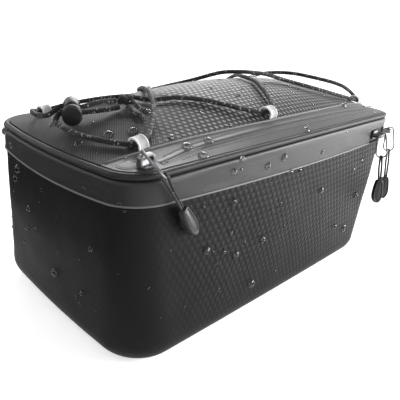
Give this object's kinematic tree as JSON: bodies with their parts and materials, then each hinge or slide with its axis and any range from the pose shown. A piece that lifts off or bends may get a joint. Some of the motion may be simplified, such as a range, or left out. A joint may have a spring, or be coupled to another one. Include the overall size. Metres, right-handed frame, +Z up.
{
  "type": "bicycle rack bag",
  "caption": "Padded rack-top bag for a bicycle: tapered tub, domed zip lid with a strip pocket, laced elastic cord with a spring lock, webbing loops and zip pullers.",
  "frame": {"origin": "centre of the flat base's plane, below the middle of the lid's length and width", "axes": "+X along the bag towards its sloping end, +Y away from the long side that carries the pocket strip, +Z up"},
  "size_m": [0.3596, 0.2103, 0.1831],
  "materials": {
    "coated_fabric": "black coated fabric with raised dots, half gloss",
    "band_fabric": "smooth dark grey coated fabric, half gloss",
    "mesh_fabric": "dark grey dimpled fabric",
    "zip_strip": "smooth grey water-resistant zip strip",
    "zip_tape": "black woven zip tape",
    "reflective_webbing": "light grey reflective webbing",
    "elastic_cord": "dark braided cord with light flecks",
    "moulded_plastic": "black moulded plastic",
    "gunmetal": "polished dark metal"
  },
  "bodies": {
    "bag": {"body_shell": "coated_fabric", "lid_band": "band_fabric", "zip_tape": "zip_tape", "rim_piping": "band_fabric", "lid_top": "mesh_fabric", "pocket_strip": "zip_strip", "loop_near_1": "reflective_webbing", "loop_near_2": "reflective_webbing", "loop_near_3": "reflective_webbing", "loop_far_1": "reflective_webbing", "loop_far_2": "reflective_webbing", "loop_far_3": "reflective_webbing", "bungee_cord": "elastic_cord", "cord_knot": "elastic_cord", "cord_tail_a": "elastic_cord", "cord_tail_b": "elastic_cord", "lock_barrel": "moulded_plastic", "pocket_slider": "gunmetal", "pocket_ring": "gunmetal", "pocket_cord": "elastic_cord", "pocket_tab": "moulded_plastic", "main_slider_a": "gunmetal", "main_ring_a": "gunmetal", "main_cord_a": "elastic_cord", "main_tab_a": "moulded_plastic", "main_slider_b": "gunmetal", "main_ring_b": "gunmetal", "main_cord_b": "elastic_cord", "main_tab_b": "moulded_plastic"},
    "lock_button": {"lock_button": "moulded_plastic"}
  },
  "joints": [
    {"name": "lock_button_slide", "type": "slide", "parent": "bag", "child": "lock_button", "axis": [0.4851, 0.8403, 0.2419], "range_m": [0, 0.0032], "stiffness_N_per_m": 400, "springref_m": -0.002}
  ]
}
